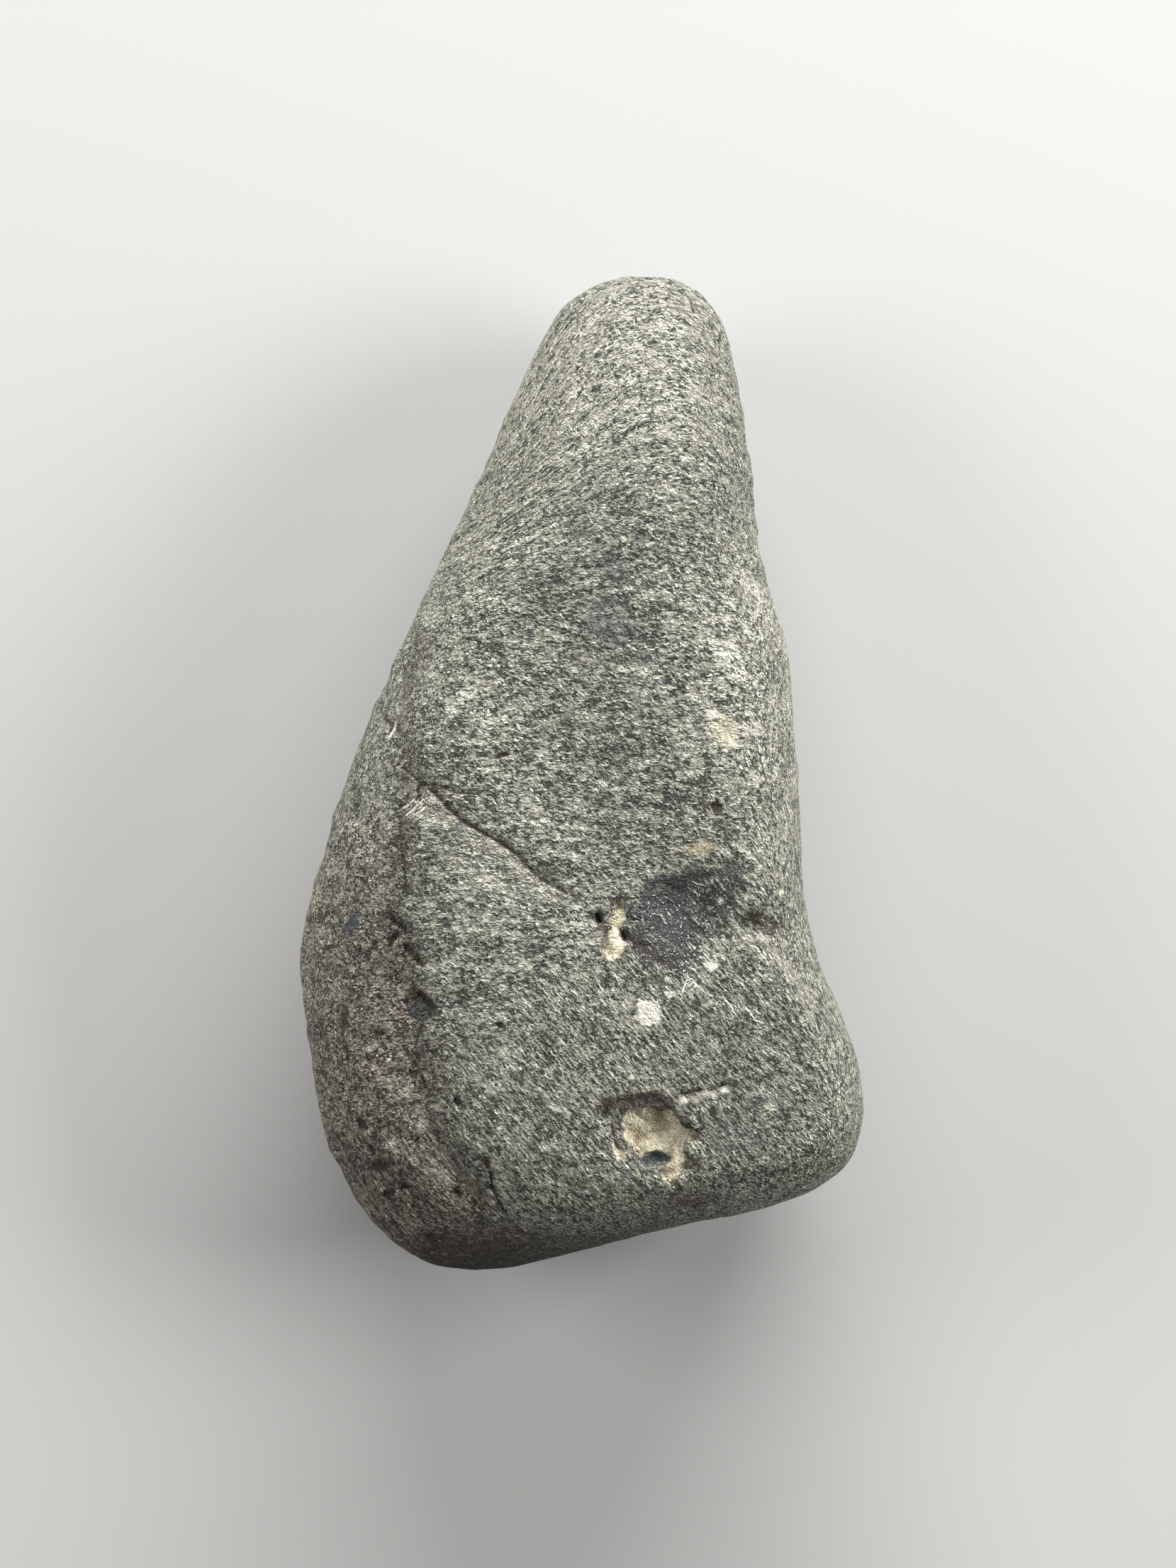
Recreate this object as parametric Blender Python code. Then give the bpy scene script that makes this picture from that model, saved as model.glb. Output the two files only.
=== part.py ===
"""A worn stone that tapers to a blunt tip, small enough to hold in the fingers.

It lies on its back on a small flat: +Z is up, +Y runs to the tip, and the origin is
under the middle of its box. The upper face is a long low dome that soft facets cut
into, rounded over at the rim. The lower face is a plain belly that ends in the flat.
"""
import math

import bpy
import numpy as np

MM = 0.001

# Driving sizes
LENGTH = 58.4 * MM  # from base to tip
WIDTH = 32.9 * MM  # across the base
THICKNESS = 17.0 * MM  # from the flat to the crown
REST_LENGTH = 27.0 * MM  # the flat has the stone's own outline, shrunk to this length
BELLY_RISE = 2.0 * MM  # how far the belly climbs from the flat to the rim, unrounded
FACET_SOFTNESS = 0.9 * MM  # how broadly two facets melt into each other

# The outline seen from above, clockwise from the tip: shares of WIDTH and of LENGTH
# from the middle of the box.
OUTLINE = [
    (0.096, 0.500), (0.180, 0.494), (0.235, 0.470), (0.267, 0.422), (0.290, 0.358),
    (0.308, 0.276), (0.328, 0.204), (0.361, 0.133), (0.379, 0.047), (0.391, -0.052),
    (0.401, -0.137), (0.434, -0.207), (0.478, -0.266), (0.500, -0.331), (0.482, -0.387),
    (0.410, -0.422), (0.229, -0.449), (0.014, -0.478), (-0.176, -0.500), (-0.290, -0.489),
    (-0.391, -0.439), (-0.454, -0.372), (-0.485, -0.277), (-0.500, -0.199), (-0.475, -0.110),
    (-0.410, 0.005), (-0.319, 0.130), (-0.201, 0.272), (-0.091, 0.411), (-0.024, 0.472),
]
CROWN = (0.02, -0.10)  # where the rings of the surface close in, in the same shares

# The rim is highest and turns over most tightly on the stone's blunt side. Its height is
# a share of THICKNESS, and the widths of its rounding are shares of WIDTH.
BLUNT_SIDE = 320  # the direction from the crown, in degrees anticlockwise from +X
RIM_HEIGHT = 0.45
RIM_TILT = 0.06
ROUNDING = 0.14
ROUNDING_SWING = 0.04
BELLY_ROUNDING = 0.195

# The long low dome of the upper face: its top, and how much of THICKNESS it loses at
# half a LENGTH or half a WIDTH from there.
DOME_TOP = (0.05, -0.17)
DOME_FALL_ALONG = 0.17
DOME_FALL_ACROSS = 0.09

# Facets worn into the dome: a point on each (shares as in OUTLINE), its height there as
# a share of THICKNESS, the direction in which it falls, and how steeply, in degrees.
FACETS = {
    "left side": ((-0.29, -0.14), 0.94, 187, 31),
    "left of the base": ((-0.16, -0.40), 0.93, 256, 33),
    "right of the base": ((0.30, -0.36), 0.935, 300, 15),
    "towards the tip": ((0.14, 0.36), 0.80, 78, 24),
}

# Hollows and pits in the upper face: the middle in shares as in OUTLINE, half the width
# and length, the depth, the turn in degrees, how upright the walls are (1 is a bowl), and
# how much deeper the upper end is than the middle.
HOLLOWS = {
    "old scar": ((0.217, -0.145), (5.0 * MM, 3.4 * MM), 1.00 * MM, -6, 1.2, 0.6),
    "waist": ((0.376, -0.174), (4.2 * MM, 2.4 * MM), 0.80 * MM, -28, 1.0, 0.5),
    "large pit": ((0.131, -0.360), (2.7 * MM, 2.4 * MM), 0.80 * MM, -20, 1.5, 0.2),
    "middle pit": ((0.050, -0.154), (1.2 * MM, 2.1 * MM), 0.75 * MM, -8, 1.4, 0.0),
    "upper pit": ((0.245, 0.038), (1.2 * MM, 1.5 * MM), 0.35 * MM, 10, 1.4, 0.3),
    "left pit": ((-0.275, -0.228), (1.0 * MM, 1.6 * MM), 0.40 * MM, 15, 1.2, 0.0),
}

# The valley along the crack, and the low step above the large pit, as points in shares.
CRACK = [(-0.314, 0.005), (-0.260, -0.014), (-0.144, -0.071), (-0.083, -0.100), (-0.004, -0.124)]
CRACK_VALLEY_DEPTH = 0.35 * MM
CRACK_STEEP_SIDE = 1.4 * MM  # how far the valley reaches on its upper side
CRACK_GENTLE_SIDE = 2.6 * MM  # and on its lower side
STEP = [(0.002, -0.321), (0.075, -0.316), (0.160, -0.320), (0.257, -0.313)]
STEP_DEPTH = 0.35 * MM
STEP_RUN_OUT = 5.0 * MM  # how far below the step its floor climbs back to the face

# How finely the surface is cut into faces.
ACROSS_CELLS = 42
ALONG_CELLS = 70
BELLY_RINGS = 7
CROWDING = 0.55  # how strongly the upper rings crowd towards the rim, from 0 to 1
BELLY_CROWDING = 1.9  # the same for the belly, where 1 is even
CURVE_STEPS = 40  # straight pieces between two points of the outline, before it is evened

STONE_COLOUR = (0.19, 0.19, 0.16, 1.0)
STONE_ROUGHNESS = 0.78


def plan(share):
    """A point or an array of points in shares of WIDTH and LENGTH, in metres."""
    return np.asarray(share, float) * (WIDTH, LENGTH)


def smooth_loop(points, count):
    """count points spaced evenly along a closed curve through the given ones.

    The curve is a cubic spline over the length of the chords: its slope at each point
    solves the cyclic system that makes its bending run on smoothly through them.
    """
    n = len(points)
    here = np.arange(n)
    chord = np.linalg.norm(np.roll(points, -1, 0) - points, axis=1)
    before = np.roll(chord, 1)
    rise = (np.roll(points, -1, 0) - points) / chord[:, None]
    system = np.zeros((n, n))
    system[here, here] = 2 * (before + chord)
    system[here, (here - 1) % n] = chord
    system[here, (here + 1) % n] = before
    pull = 3 * (chord[:, None] * np.roll(rise, 1, 0) + before[:, None] * rise)
    slope = np.linalg.solve(system, pull)

    t = np.tile(np.arange(CURVE_STEPS) / CURVE_STEPS, n)[:, None]
    k = np.repeat(here, CURVE_STEPS)
    after = (k + 1) % n
    span = chord[k][:, None]
    curve = (
        (2 * t**3 - 3 * t**2 + 1) * points[k]
        + (t**3 - 2 * t**2 + t) * span * slope[k]
        + (3 * t**2 - 2 * t**3) * points[after]
        + (t**3 - t**2) * span * slope[after]
    )
    closed = np.vstack([curve, curve[:1]])
    run = np.append(0, np.cumsum(np.linalg.norm(np.diff(closed, axis=0), axis=1)))
    wanted = np.arange(count) / count * run[-1]
    return np.column_stack([np.interp(wanted, run, closed[:, axis]) for axis in (0, 1)])


def outline(count):
    """The stone's outline as count points, stretched to fill WIDTH by LENGTH exactly."""
    loop = smooth_loop(plan(OUTLINE), count)
    low, high = loop.min(0), loop.max(0)
    return (loop - (low + high) / 2) / (high - low) * (WIDTH, LENGTH)


def rim_of(loop):
    """For each point of the outline: the rim's height, and the width of its rounding."""
    reach = loop - plan(CROWN)
    blunt = np.cos(np.arctan2(reach[:, 1], reach[:, 0]) - math.radians(BLUNT_SIDE))
    return THICKNESS * (RIM_HEIGHT + RIM_TILT * blunt), WIDTH * (ROUNDING - ROUNDING_SWING * blunt)


def way_in(loop):
    """How far in from the rim the crown is, for each point of the loop, square to the rim."""
    tangent = np.roll(loop, -1, 0) - np.roll(loop, 1, 0)
    tangent /= np.linalg.norm(tangent, axis=1)[:, None]
    reach = loop - plan(CROWN)
    return abs(reach[:, 0] * tangent[:, 1] - reach[:, 1] * tangent[:, 0])


def quarter_round(inwards, width):
    """0 at the rim and 1 from width inwards: the quarter ellipse sqrt(1 - (1 - d / w) ** 2)."""
    over = np.clip(1 - inwards / width, 0, 1)
    return np.sqrt(1 - over**2)


def worn_face(xy):
    """Height of the upper face before its rim is rounded: the dome and facets, softly cut."""
    along_and_across = xy / (WIDTH, LENGTH) - DOME_TOP
    fall = (2 * along_and_across) ** 2 @ (DOME_FALL_ACROSS, DOME_FALL_ALONG)
    total = np.exp(-THICKNESS * (1 - fall) / FACET_SOFTNESS)
    for at, height, falls_to, slope in FACETS.values():
        heading = math.radians(falls_to)
        out = (xy - plan(at)) @ (math.cos(heading), math.sin(heading))
        plane = height * THICKNESS - math.tan(math.radians(slope)) * out
        total = total + np.exp(-plane / FACET_SOFTNESS)
    return -FACET_SOFTNESS * np.log(total)


def bowl(xy, at, half, depth, turn, wall, lean):
    """Depth of one hollow: full at its middle, and none from its oval edge outwards."""
    angle = math.radians(turn)
    off = xy - plan(at)
    across = off @ (math.cos(angle), math.sin(angle)) / half[0]
    along = off @ (-math.sin(angle), math.cos(angle)) / half[1]
    inside = np.clip(wall * (1 - np.hypot(across, along)), 0, 1)
    return depth * inside**2 * (3 - 2 * inside) * (1 + lean * along)


def distance_to_line(xy, shares):
    """(distance from a line through points, how far over to its left) for each xy."""
    line = plan(shares)
    nearest = np.full(xy.shape[:-1], np.inf)
    side = np.zeros(xy.shape[:-1])
    for start, end in zip(line[:-1], line[1:]):
        along = end - start
        t = np.clip((xy - start) @ along / (along @ along), 0, 1)
        off = xy - (start + t[..., None] * along)
        far = np.hypot(off[..., 0], off[..., 1])
        left = (along[0] * off[..., 1] - along[1] * off[..., 0]) / np.hypot(*along)
        side = np.where(far < nearest, left, side)
        nearest = np.minimum(nearest, far)
    return nearest, side


def relief(xy):
    """How far the hollows, the crack's valley and the low step lie under the upper face."""
    depth = sum(bowl(xy, *hollow) for hollow in HOLLOWS.values())
    far, left = distance_to_line(xy, CRACK)
    reach = np.where(left > 0, CRACK_STEEP_SIDE, CRACK_GENTLE_SIDE)
    depth = depth + CRACK_VALLEY_DEPTH * np.exp(-((far / reach) ** 2))
    far, left = distance_to_line(xy, STEP)
    climbed = np.clip(-left / STEP_RUN_OUT, 0, 1)
    fade = np.exp(-((far / STEP_RUN_OUT) ** 2))
    return depth + STEP_DEPTH * np.where(left < 0, (1 - climbed) * fade, 0)


def border_cells():
    """(row, column) of the grid's border vertices, clockwise from the middle of the tip."""
    tip, right, middle = ALONG_CELLS, ACROSS_CELLS, ACROSS_CELLS // 2
    cells = [(tip, c) for c in range(middle, right)]
    cells += [(r, right) for r in range(tip, 0, -1)]
    cells += [(0, c) for c in range(right, 0, -1)]
    cells += [(r, 0) for r in range(tip)]
    return cells + [(tip, c) for c in range(middle)]


def steps_round_border(row, column):
    """How many cells round the border a point on it is, counted as border_cells counts."""
    tip, right, middle = ALONG_CELLS, ACROSS_CELLS, ACROSS_CELLS // 2
    corner = right - middle
    sides = [np.isclose(row, tip), np.isclose(column, right), np.isclose(row, 0)]
    counts = [column - middle, corner + tip - row, corner + tip + right - column]
    around = np.select(sides, counts, corner + tip + right + row)
    return np.mod(around, 2 * (tip + right))


def read_round(values, steps):
    """Values listed round the border, read at any number of steps along it."""
    closed = np.append(values, values[0])
    return np.interp(steps, np.arange(len(closed)), closed)


def upper_sheet(loop):
    """Vertices of the upper face, as an (ALONG_CELLS + 1, ACROSS_CELLS + 1, 3) grid.

    The grid's border is the outline, and each smaller rectangle of it is the outline
    shrunk towards the crown. The height climbs from the rim to the worn face over the
    rounding's width, and its highest point is brought to THICKNESS.
    """
    half = np.array([ALONG_CELLS, ACROSS_CELLS]) / 2
    row, column = np.mgrid[0 : ALONG_CELLS + 1, 0 : ACROSS_CELLS + 1]
    v, u = row / half[0] - 1, column / half[1] - 1
    ring = np.maximum(abs(u), abs(v))
    outwards = np.where(ring == 0, 1, ring)
    steps = steps_round_border((v / outwards + 1) * half[0], (u / outwards + 1) * half[1])
    share = ring * (1 + CROWDING * (1 - ring))
    rim_point = np.stack([read_round(loop[:, 0], steps), read_round(loop[:, 1], steps)], -1)
    xy = plan(CROWN) + share[..., None] * (rim_point - plan(CROWN))

    rim, width = (read_round(values, steps) for values in rim_of(loop))
    rounded = quarter_round((1 - share) * read_round(way_in(loop), steps), width)
    height = rim + (worn_face(xy) - relief(xy) - rim) * rounded
    height += (THICKNESS - height.max()) * rounded
    return np.dstack([xy, height])


def belly_rings(loop):
    """Vertices of the lower face, ring by ring from the rim to the flat, which is at Z 0.

    s falls from 1 at the rim to 0 at the flat. The belly's height is BELLY_RISE times s
    squared, rounded up to the rim over BELLY_ROUNDING.
    """
    flat = REST_LENGTH / LENGTH
    rim, _ = rim_of(loop)
    for k in range(1, BELLY_RINGS + 1):
        s = 1 - (k / BELLY_RINGS) ** BELLY_CROWDING
        share = flat + (1 - flat) * s
        rounded = quarter_round((1 - share) * way_in(loop), BELLY_ROUNDING * WIDTH)
        height = rim + (BELLY_RISE * s**2 - rim) * rounded
        xy = plan(CROWN) + share * (loop - plan(CROWN))
        yield np.column_stack([xy, height if s > 0 else 0 * height])


def stone_mesh():
    """The closed surface: the upper sheet, the belly's rings and the flat as one face."""
    border = border_cells()
    loop = outline(len(border))
    columns = ACROSS_CELLS + 1
    corners = [r * columns + c for r in range(ALONG_CELLS) for c in range(ACROSS_CELLS)]
    faces = [(k, k + 1, k + columns + 1, k + columns) for k in corners]

    vertices = [upper_sheet(loop).reshape(-1, 3)]
    filled = len(vertices[0])
    outer = [r * columns + c for r, c in border]
    for ring in belly_rings(loop):
        inner = list(range(filled, filled + len(ring)))
        filled += len(ring)
        vertices.append(ring)
        following = zip(outer, outer[1:] + outer[:1], inner[1:] + inner[:1], inner)
        faces += list(following)
        outer = inner
    faces.append(tuple(outer))

    mesh = bpy.data.meshes.new("stone")
    mesh.from_pydata(np.vstack(vertices).tolist(), [], faces)
    return mesh


def worn_stone_material():
    """Matt grey stone with a greenish cast."""
    material = bpy.data.materials.new("worn_stone")
    material.use_nodes = True
    shader = material.node_tree.nodes["Principled BSDF"]
    shader.inputs["Base Color"].default_value = STONE_COLOUR
    shader.inputs["Roughness"].default_value = STONE_ROUGHNESS
    shader.inputs["Metallic"].default_value = 0.0
    return material


def clear_scene():
    for old in list(bpy.data.objects):
        bpy.data.objects.remove(old, do_unlink=True)


def main():
    clear_scene()
    mesh = stone_mesh()
    mesh.materials.append(worn_stone_material())
    mesh.shade_smooth()
    stone = bpy.data.objects.new("stone", mesh)
    bpy.context.scene.collection.objects.link(stone)


main()
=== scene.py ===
# %% [markdown]
# This lesson makes the looks of one small worn stone: a grey, finely grained pebble that
# narrows from a broad base to a blunt tip. It is a single piece, so the whole lesson is
# about two things, its form and its skin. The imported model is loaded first, because it
# says how large the stone is and where it lies, and everything here is fitted to it.

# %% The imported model
import math

import bpy
import numpy as np
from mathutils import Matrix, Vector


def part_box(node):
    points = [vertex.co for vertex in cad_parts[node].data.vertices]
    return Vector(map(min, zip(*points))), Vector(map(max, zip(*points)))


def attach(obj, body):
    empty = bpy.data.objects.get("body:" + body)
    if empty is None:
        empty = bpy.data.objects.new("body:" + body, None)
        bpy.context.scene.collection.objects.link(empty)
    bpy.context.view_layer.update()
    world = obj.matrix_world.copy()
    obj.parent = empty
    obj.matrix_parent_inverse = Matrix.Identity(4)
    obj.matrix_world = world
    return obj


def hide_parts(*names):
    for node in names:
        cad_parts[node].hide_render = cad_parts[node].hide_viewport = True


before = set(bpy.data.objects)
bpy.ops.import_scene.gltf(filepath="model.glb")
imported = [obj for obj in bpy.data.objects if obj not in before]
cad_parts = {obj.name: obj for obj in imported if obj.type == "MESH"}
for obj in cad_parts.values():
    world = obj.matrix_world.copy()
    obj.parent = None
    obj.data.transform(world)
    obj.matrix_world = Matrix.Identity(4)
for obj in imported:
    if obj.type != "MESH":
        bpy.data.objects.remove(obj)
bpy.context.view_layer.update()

MM = 0.001
stone_low, stone_high = (np.array(corner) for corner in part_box("stone"))
WIDTH, LENGTH, THICKNESS = stone_high - stone_low
print("stone, in mm:", np.round(np.array([WIDTH, LENGTH, THICKNESS]) / MM, 2))

# %% [markdown]
# The picture looks straight down on the lying stone from about 20 cm, so the camera hangs
# over it and looks along -Z. The number of pixels to a millimetre at the height of the
# stone's outline gives the lens, and the place of the outline in the picture gives the
# camera's place, with no shift at all. The same numbers turn a place in the picture into a
# place on the stone, which is how the cracks and pits below are set out.

# %% The camera, and from the picture to the stone
FRAME_PX = np.array([1659, 2212])
OUTLINE_MIDDLE_PX = (819.0, 1086.5)  # the middle of the stone's outline in the picture
PX_PER_MM = 24.0  # at the height of the outline
OUTLINE_LEVEL = 7.6 * MM
FACE_LEVEL = 16.0 * MM  # a usual height of the upper face
CAMERA_DISTANCE = 200 * MM  # from the outline's height up to the camera
SENSOR_WIDTH = 36.0
CLIP_START = 10 * MM

to_frame_middle = (FRAME_PX / 2 - OUTLINE_MIDDLE_PX) * (1, -1) / PX_PER_MM * MM
camera_place = np.append(to_frame_middle, OUTLINE_LEVEL + CAMERA_DISTANCE)
above_face = camera_place[2] - FACE_LEVEL
PIXEL = MM / PX_PER_MM * above_face / CAMERA_DISTANCE  # at the face


def seen_at(pixels):
    """Where points of the picture lie on the level of the face, in metres."""
    return camera_place[:2] + (np.asarray(pixels, float) - FRAME_PX / 2) * (1, -1) * PIXEL


def in_sight(xy, height):
    """Where the line of sight to each point crosses the level of the face.

    The offset from the camera's foot grows or shrinks with the distance below the camera,
    so a mark set out on the picture is found on the stone at whatever height it lies.
    """
    nearer = above_face / (camera_place[2] - height)
    return camera_place[:2] + (xy - camera_place[:2]) * nearer[:, None]


def add_object(name, data):
    """A new object in the scene, with the given data."""
    made = bpy.data.objects.new(name, data)
    bpy.context.scene.collection.objects.link(made)
    return made


camera_data = bpy.data.cameras.new("camera")
camera_data.sensor_fit = "HORIZONTAL"
camera_data.sensor_width = SENSOR_WIDTH
camera_data.lens = SENSOR_WIDTH * CAMERA_DISTANCE / (FRAME_PX[0] / PX_PER_MM * MM)
camera_data.clip_start = CLIP_START
camera = add_object("camera", camera_data)
camera.location = camera_place
bpy.context.scene.camera = camera
print("lens, in mm:", round(camera_data.lens, 1), "camera at, in mm:", np.round(camera_place / MM, 2))

# %% [markdown]
# The outline is what makes this stone itself: a straight left side, a slight waist on the
# right above a heavy corner, and a narrow round tip. It could be a Bezier curve edited by
# eye, but a list of thirty points with a smooth curve worked out through them is easier
# to read and to change. The curve is a cubic spline: its slope at every point comes from
# one small system of equations, which asks that the bending run on without a jump.

# %% The outline
OUTLINE = [
    (0.096, 0.500), (0.180, 0.494), (0.235, 0.470), (0.267, 0.422), (0.290, 0.358),
    (0.308, 0.276), (0.328, 0.204), (0.361, 0.133), (0.379, 0.047), (0.391, -0.052),
    (0.401, -0.137), (0.434, -0.207), (0.478, -0.266), (0.500, -0.331), (0.482, -0.387),
    (0.410, -0.422), (0.229, -0.449), (0.014, -0.478), (-0.176, -0.500), (-0.290, -0.489),
    (-0.391, -0.439), (-0.454, -0.372), (-0.485, -0.277), (-0.500, -0.199), (-0.475, -0.110),
    (-0.410, 0.005), (-0.319, 0.130), (-0.201, 0.272), (-0.091, 0.411), (-0.024, 0.472),
]  # clockwise from the tip, in shares of the width and of the length
CURVE_STEPS = 60


def plan(share):
    """A point or an array of points in shares of the width and the length, in metres."""
    return np.asarray(share, float) * (WIDTH, LENGTH)


def cubic(start, end, slope_at_start, slope_at_end, t):
    """The cubic that runs from start at t = 0 to end at t = 1 with the given slopes there.

    It is the sum of the four, each times a cubic of t that leaves the other three alone.
    """
    return (
        (2 * t**3 - 3 * t**2 + 1) * start
        + (t**3 - 2 * t**2 + t) * slope_at_start
        + (3 * t**2 - 2 * t**3) * end
        + (t**3 - t**2) * slope_at_end
    )


def smooth_loop(points, count):
    """count points spaced evenly along a closed cubic spline through the given ones.

    The slopes solve a cyclic system that keeps the second derivative continuous, each
    stretch is the cubic with the slopes at its two ends, and the points are then spaced
    by the length run along the curve.
    """
    n = len(points)
    here = np.arange(n)
    chord = np.linalg.norm(np.roll(points, -1, 0) - points, axis=1)
    before = np.roll(chord, 1)
    rise_over_run = (np.roll(points, -1, 0) - points) / chord[:, None]
    system = np.zeros((n, n))
    system[here, here] = 2 * (before + chord)
    system[here, (here - 1) % n] = chord
    system[here, (here + 1) % n] = before
    pull = 3 * (chord[:, None] * np.roll(rise_over_run, 1, 0) + before[:, None] * rise_over_run)
    slope = np.linalg.solve(system, pull)

    t = np.tile(np.arange(CURVE_STEPS) / CURVE_STEPS, n)[:, None]
    k = np.repeat(here, CURVE_STEPS)
    after = (k + 1) % n
    span = chord[k][:, None]
    curve = cubic(points[k], points[after], span * slope[k], span * slope[after], t)
    closed = np.vstack([curve, curve[:1]])
    run = np.append(0, np.cumsum(np.linalg.norm(np.diff(closed, axis=0), axis=1)))
    wanted = np.arange(count) / count * run[-1]
    return np.column_stack([np.interp(wanted, run, closed[:, axis]) for axis in (0, 1)])


def outline(count):
    """The outline as count points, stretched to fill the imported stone's box exactly."""
    loop = smooth_loop(plan(OUTLINE), count)
    low, high = loop.min(0), loop.max(0)
    return (loop - (low + high) / 2) / (high - low) * (WIDTH, LENGTH)


print("outline length, in mm:", round(np.linalg.norm(np.diff(outline(1000), axis=0), axis=1).sum() / MM, 1))

# %% [markdown]
# Water and sand wear a stone into a long low dome with a few soft facets, and turn its
# edge over. Sculpting would give such a form too, but it can be said in a few numbers.
# The dome and each facet are a height over the plan, and the face is a soft minimum of
# them all: -k log(sum of exp(-z / k)), in which k says how broadly two facets melt into
# each other. The rim is a quarter of an ellipse, higher and tighter on the blunt side.

# %% The worn face and the rim
CROWN = (0.02, -0.10)  # where the rings of the surface close in, in shares
BLUNT_SIDE = 320  # the direction from the crown, in degrees anticlockwise from +X
RIM_HEIGHT = 0.45  # of the thickness
RIM_TILT = 0.06
ROUNDING = 0.14  # of the width
ROUNDING_SWING = 0.04
BELLY_ROUNDING = 0.195
BELLY_RISE = 2.0 * MM
REST_LENGTH = 27.0 * MM  # of the flat on which the stone lies
DOME_TOP = (0.05, -0.17)
DOME_FALL_ALONG = 0.17
DOME_FALL_ACROSS = 0.09
FACET_SOFTNESS = 0.9 * MM
FACETS = {  # a point in shares, its height, the direction of its fall and its slope
    "left side": ((-0.29, -0.14), 0.94, 187, 31),
    "left of the base": ((-0.16, -0.40), 0.93, 256, 33),
    "right of the base": ((0.30, -0.36), 0.935, 300, 15),
    "towards the tip": ((0.14, 0.36), 0.80, 78, 24),
}


def worn_face(xy):
    """Height of the upper face before its rim is rounded: the soft minimum of all facets."""
    along_and_across = xy / (WIDTH, LENGTH) - DOME_TOP
    fall = (2 * along_and_across) ** 2 @ (DOME_FALL_ACROSS, DOME_FALL_ALONG)
    total = np.exp(-THICKNESS * (1 - fall) / FACET_SOFTNESS)
    for at, height, falls_to, slope in FACETS.values():
        heading = math.radians(falls_to)
        out = (xy - plan(at)) @ (math.cos(heading), math.sin(heading))
        plane = height * THICKNESS - math.tan(math.radians(slope)) * out
        total = total + np.exp(-plane / FACET_SOFTNESS)
    return -FACET_SOFTNESS * np.log(total)


def rim_of(loop):
    """For each point of the outline: the rim's height, and the width of its rounding."""
    reach = loop - plan(CROWN)
    blunt = np.cos(np.arctan2(reach[:, 1], reach[:, 0]) - math.radians(BLUNT_SIDE))
    return THICKNESS * (RIM_HEIGHT + RIM_TILT * blunt), WIDTH * (ROUNDING - ROUNDING_SWING * blunt)


def way_in(loop):
    """How far in from the rim the crown is, for each point of the loop, square to the rim."""
    tangent = np.roll(loop, -1, 0) - np.roll(loop, 1, 0)
    tangent /= np.linalg.norm(tangent, axis=1)[:, None]
    reach = loop - plan(CROWN)
    return abs(reach[:, 0] * tangent[:, 1] - reach[:, 1] * tangent[:, 0])


def quarter_round(inwards, width):
    """0 at the rim and 1 from width inwards: the quarter ellipse sqrt(1 - (1 - d / w) ** 2)."""
    over = np.clip(1 - inwards / width, 0, 1)
    return np.sqrt(1 - over**2)


def eased(low, high, value):
    """0 below low, 1 above high, and 3 t^2 - 2 t^3 of the way between them."""
    t = np.clip((value - low) / (high - low), 0, 1)
    return t * t * (3 - 2 * t)


print("face height at the crown, in mm:", round(float(worn_face(plan(CROWN))) / MM, 2))

# %% [markdown]
# The marks on the upper face were set out on the picture. Those with an area, such as the
# pits, are closed loops, and a loop becomes a field: how far inside its edge a point is,
# negative outside. One field can then lower the surface and colour it, and the two always
# agree. Drawing the marks as an image would tie them to its pixels, and cutting them with
# booleans would leave hard edges that wear has taken.

# %% Marks with an area
LOOPS_PX = {
    "large pit": [
        (876, 1577), (888, 1563), (902, 1564), (915, 1560), (930, 1567), (947, 1566), (957, 1577),
        (967, 1590), (980, 1597), (984, 1606), (970, 1610), (964, 1621), (975, 1636), (979, 1646),
        (966, 1652), (958, 1662), (949, 1673), (938, 1668), (931, 1656), (938, 1646), (946, 1638),
        (944, 1630), (929, 1625), (916, 1628), (901, 1634), (889, 1621), (877, 1603),
    ],
    "large pit's shard": [
        (861, 1613), (868, 1611), (876, 1622), (884, 1632), (880, 1640), (870, 1636), (862, 1626),
    ],
    "large pit's hole": [
        (903, 1637), (914, 1629), (929, 1626), (944, 1631), (951, 1637), (943, 1643), (933, 1641),
        (922, 1647), (912, 1649), (904, 1644),
    ],
    "middle pit": [
        (866, 1268), (879, 1267), (884, 1284), (882, 1300), (877, 1316), (883, 1330), (879, 1345),
        (868, 1354), (854, 1353), (847, 1340), (853, 1327), (860, 1312), (860, 1296), (863, 1282),
    ],
    "middle pit's left hole": [(836, 1290), (843, 1287), (850, 1295), (849, 1304), (843, 1302)],
    "middle pit's right hole": [(874, 1308), (882, 1316), (888, 1326), (880, 1329), (873, 1322)],
    "upper pit": [
        (1000, 1003), (1012, 1001), (1030, 1010), (1043, 1020), (1040, 1035), (1033, 1052),
        (1022, 1060), (1012, 1045), (1003, 1030), (999, 1015),
    ],
    "white spot": [
        (905, 1406), (916, 1412), (930, 1411), (931, 1424), (938, 1438), (927, 1446), (908, 1446),
        (893, 1436), (900, 1426), (899, 1414),
    ],
    "small white spot": [(938, 1400), (948, 1397), (957, 1401), (955, 1408), (944, 1409)],
    "pale spot": [(994, 1358), (1004, 1354), (1013, 1360), (1009, 1368), (998, 1368)],
    "old scar": [
        (884, 1262), (907, 1250), (935, 1240), (984, 1230), (1018, 1221), (1047, 1219), (1062, 1236),
        (1046, 1262), (1036, 1286), (1024, 1304), (1002, 1318), (996, 1340), (984, 1362),
        (966, 1386), (936, 1380), (904, 1358), (890, 1336), (884, 1301),
    ],
    "left pit": [
        (584, 1396), (596, 1399), (606, 1414), (610, 1428), (604, 1442), (596, 1466), (588, 1470),
        (584, 1446), (570, 1432), (568, 1414),
    ],
}


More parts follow.
